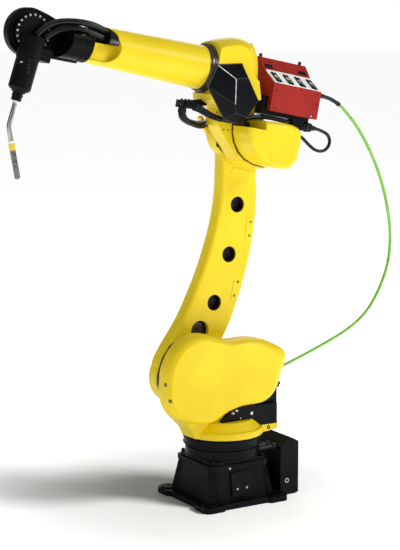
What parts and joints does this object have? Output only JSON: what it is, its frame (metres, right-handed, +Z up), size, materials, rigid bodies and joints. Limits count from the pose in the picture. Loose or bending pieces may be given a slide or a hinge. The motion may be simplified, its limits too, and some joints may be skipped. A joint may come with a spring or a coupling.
{
  "type": "industrial robot arm",
  "caption": "Six-axis welding robot arm on a square cast base, with a curved lower arm, a tapered forearm, a wire feeder on the elbow and a bent-neck torch on a hollow wrist.",
  "frame": {"origin": "on the swivel axis, at the underside of the base plate, where it stands on the floor", "axes": "+Z up along the swivel axis; +X to the front, the way the forearm points at rest; +Y to the arm's left, the side of the big shoulder shell"},
  "size_m": [1.5419, 0.352, 1.7569],
  "materials": {
    "black_paint": "satin black enamel on cast iron and steel",
    "yellow_paint": "glossy traffic-yellow enamel",
    "dark_seal": "dark oil seal, slightly brown",
    "red_paint": "red powder coat on sheet steel",
    "white_plate": "white coated sheet",
    "black_rubber": "black cable jacket",
    "green_jacket": "bright green liner jacket",
    "black_plastic": "black moulded plastic",
    "chrome": "plated tube, lightly brushed",
    "white_ceramic": "white glazed insulator ring",
    "yellow_plastic": "yellow insulator",
    "dark_steel": "heat-darkened steel"
  },
  "bodies": {
    "base": {"base_casting": "black_paint", "side_cover": "black_paint", "connector_box": "black_paint", "connector_cover": "black_paint", "base_hoses": "black_rubber"},
    "turntable": {"turntable_casting": "yellow_paint", "shoulder_gearbox": "dark_seal", "shoulder_shell": "yellow_paint", "terminal_box": "black_paint", "swivel_motor": "black_paint", "conduit_gland": "black_plastic"},
    "lower_arm": {"lower_arm": "yellow_paint", "arm_plug": "dark_seal"},
    "elbow": {"elbow_gearbox": "dark_seal", "elbow_casing": "yellow_paint", "elbow_rear_cover": "yellow_paint", "forearm_seal": "dark_seal", "faceted_cover": "black_paint", "elbow_motor_cover": "yellow_paint", "feeder_housing": "red_paint", "feeder_panel": "white_plate", "feeder_bracket": "black_paint", "feeder_socket": "black_paint", "feeder_latches": "black_plastic", "feeder_knobs": "black_plastic", "harness_clamp": "black_paint", "elbow_hose": "black_rubber", "harness_loops": "black_rubber", "green_conduit": "green_jacket", "conduit_sleeve": "black_rubber", "loop_cable": "black_rubber"},
    "forearm": {"forearm_tube": "yellow_paint", "conduit_boot": "black_rubber", "wrist_housing": "black_paint", "wrist_arm": "black_paint", "wrist_conduits": "black_rubber"},
    "wrist": {"wrist_unit": "black_paint"},
    "torch": {"torch_body": "black_paint", "torch_neck": "chrome", "torch_ferrules": "white_ceramic", "insulator_band": "yellow_plastic", "torch_nozzle": "dark_steel"}
  },
  "joints": [
    {"name": "swivel", "type": "hinge", "parent": "base", "child": "turntable", "pos_m": [0, 0, 0.24], "axis": [0, 0, 1], "range_deg": [-170, 170]},
    {"name": "shoulder", "type": "hinge", "parent": "turntable", "child": "lower_arm", "pos_m": [0.15, 0, 0.45], "axis": [0, 1, 0], "range_deg": [-65, 105]},
    {"name": "elbow_swing", "type": "hinge", "parent": "lower_arm", "child": "elbow", "pos_m": [-0.08035, 0, 1.30967], "axis": [0, -1, 0], "range_deg": [-60, 100], "deforming": ["green_conduit", "harness_loops"]},
    {"name": "forearm_roll", "type": "hinge", "parent": "elbow", "child": "forearm", "pos_m": [0.08816, 0, 1.54832], "axis": [0.9806, 0, 0.1959], "range_deg": [-190, 190]},
    {"name": "wrist_bend", "type": "hinge", "parent": "forearm", "child": "wrist", "pos_m": [0.72654, 0, 1.67588], "axis": [0, -1, 0], "range_deg": [-42, 207], "deforming": ["wrist_conduits"]},
    {"name": "torch_roll", "type": "hinge", "parent": "wrist", "child": "torch", "pos_m": [0.72654, 0, 1.67588], "axis": [0.319, 0, -0.9478], "range_deg": [-270, 270]}
  ]
}
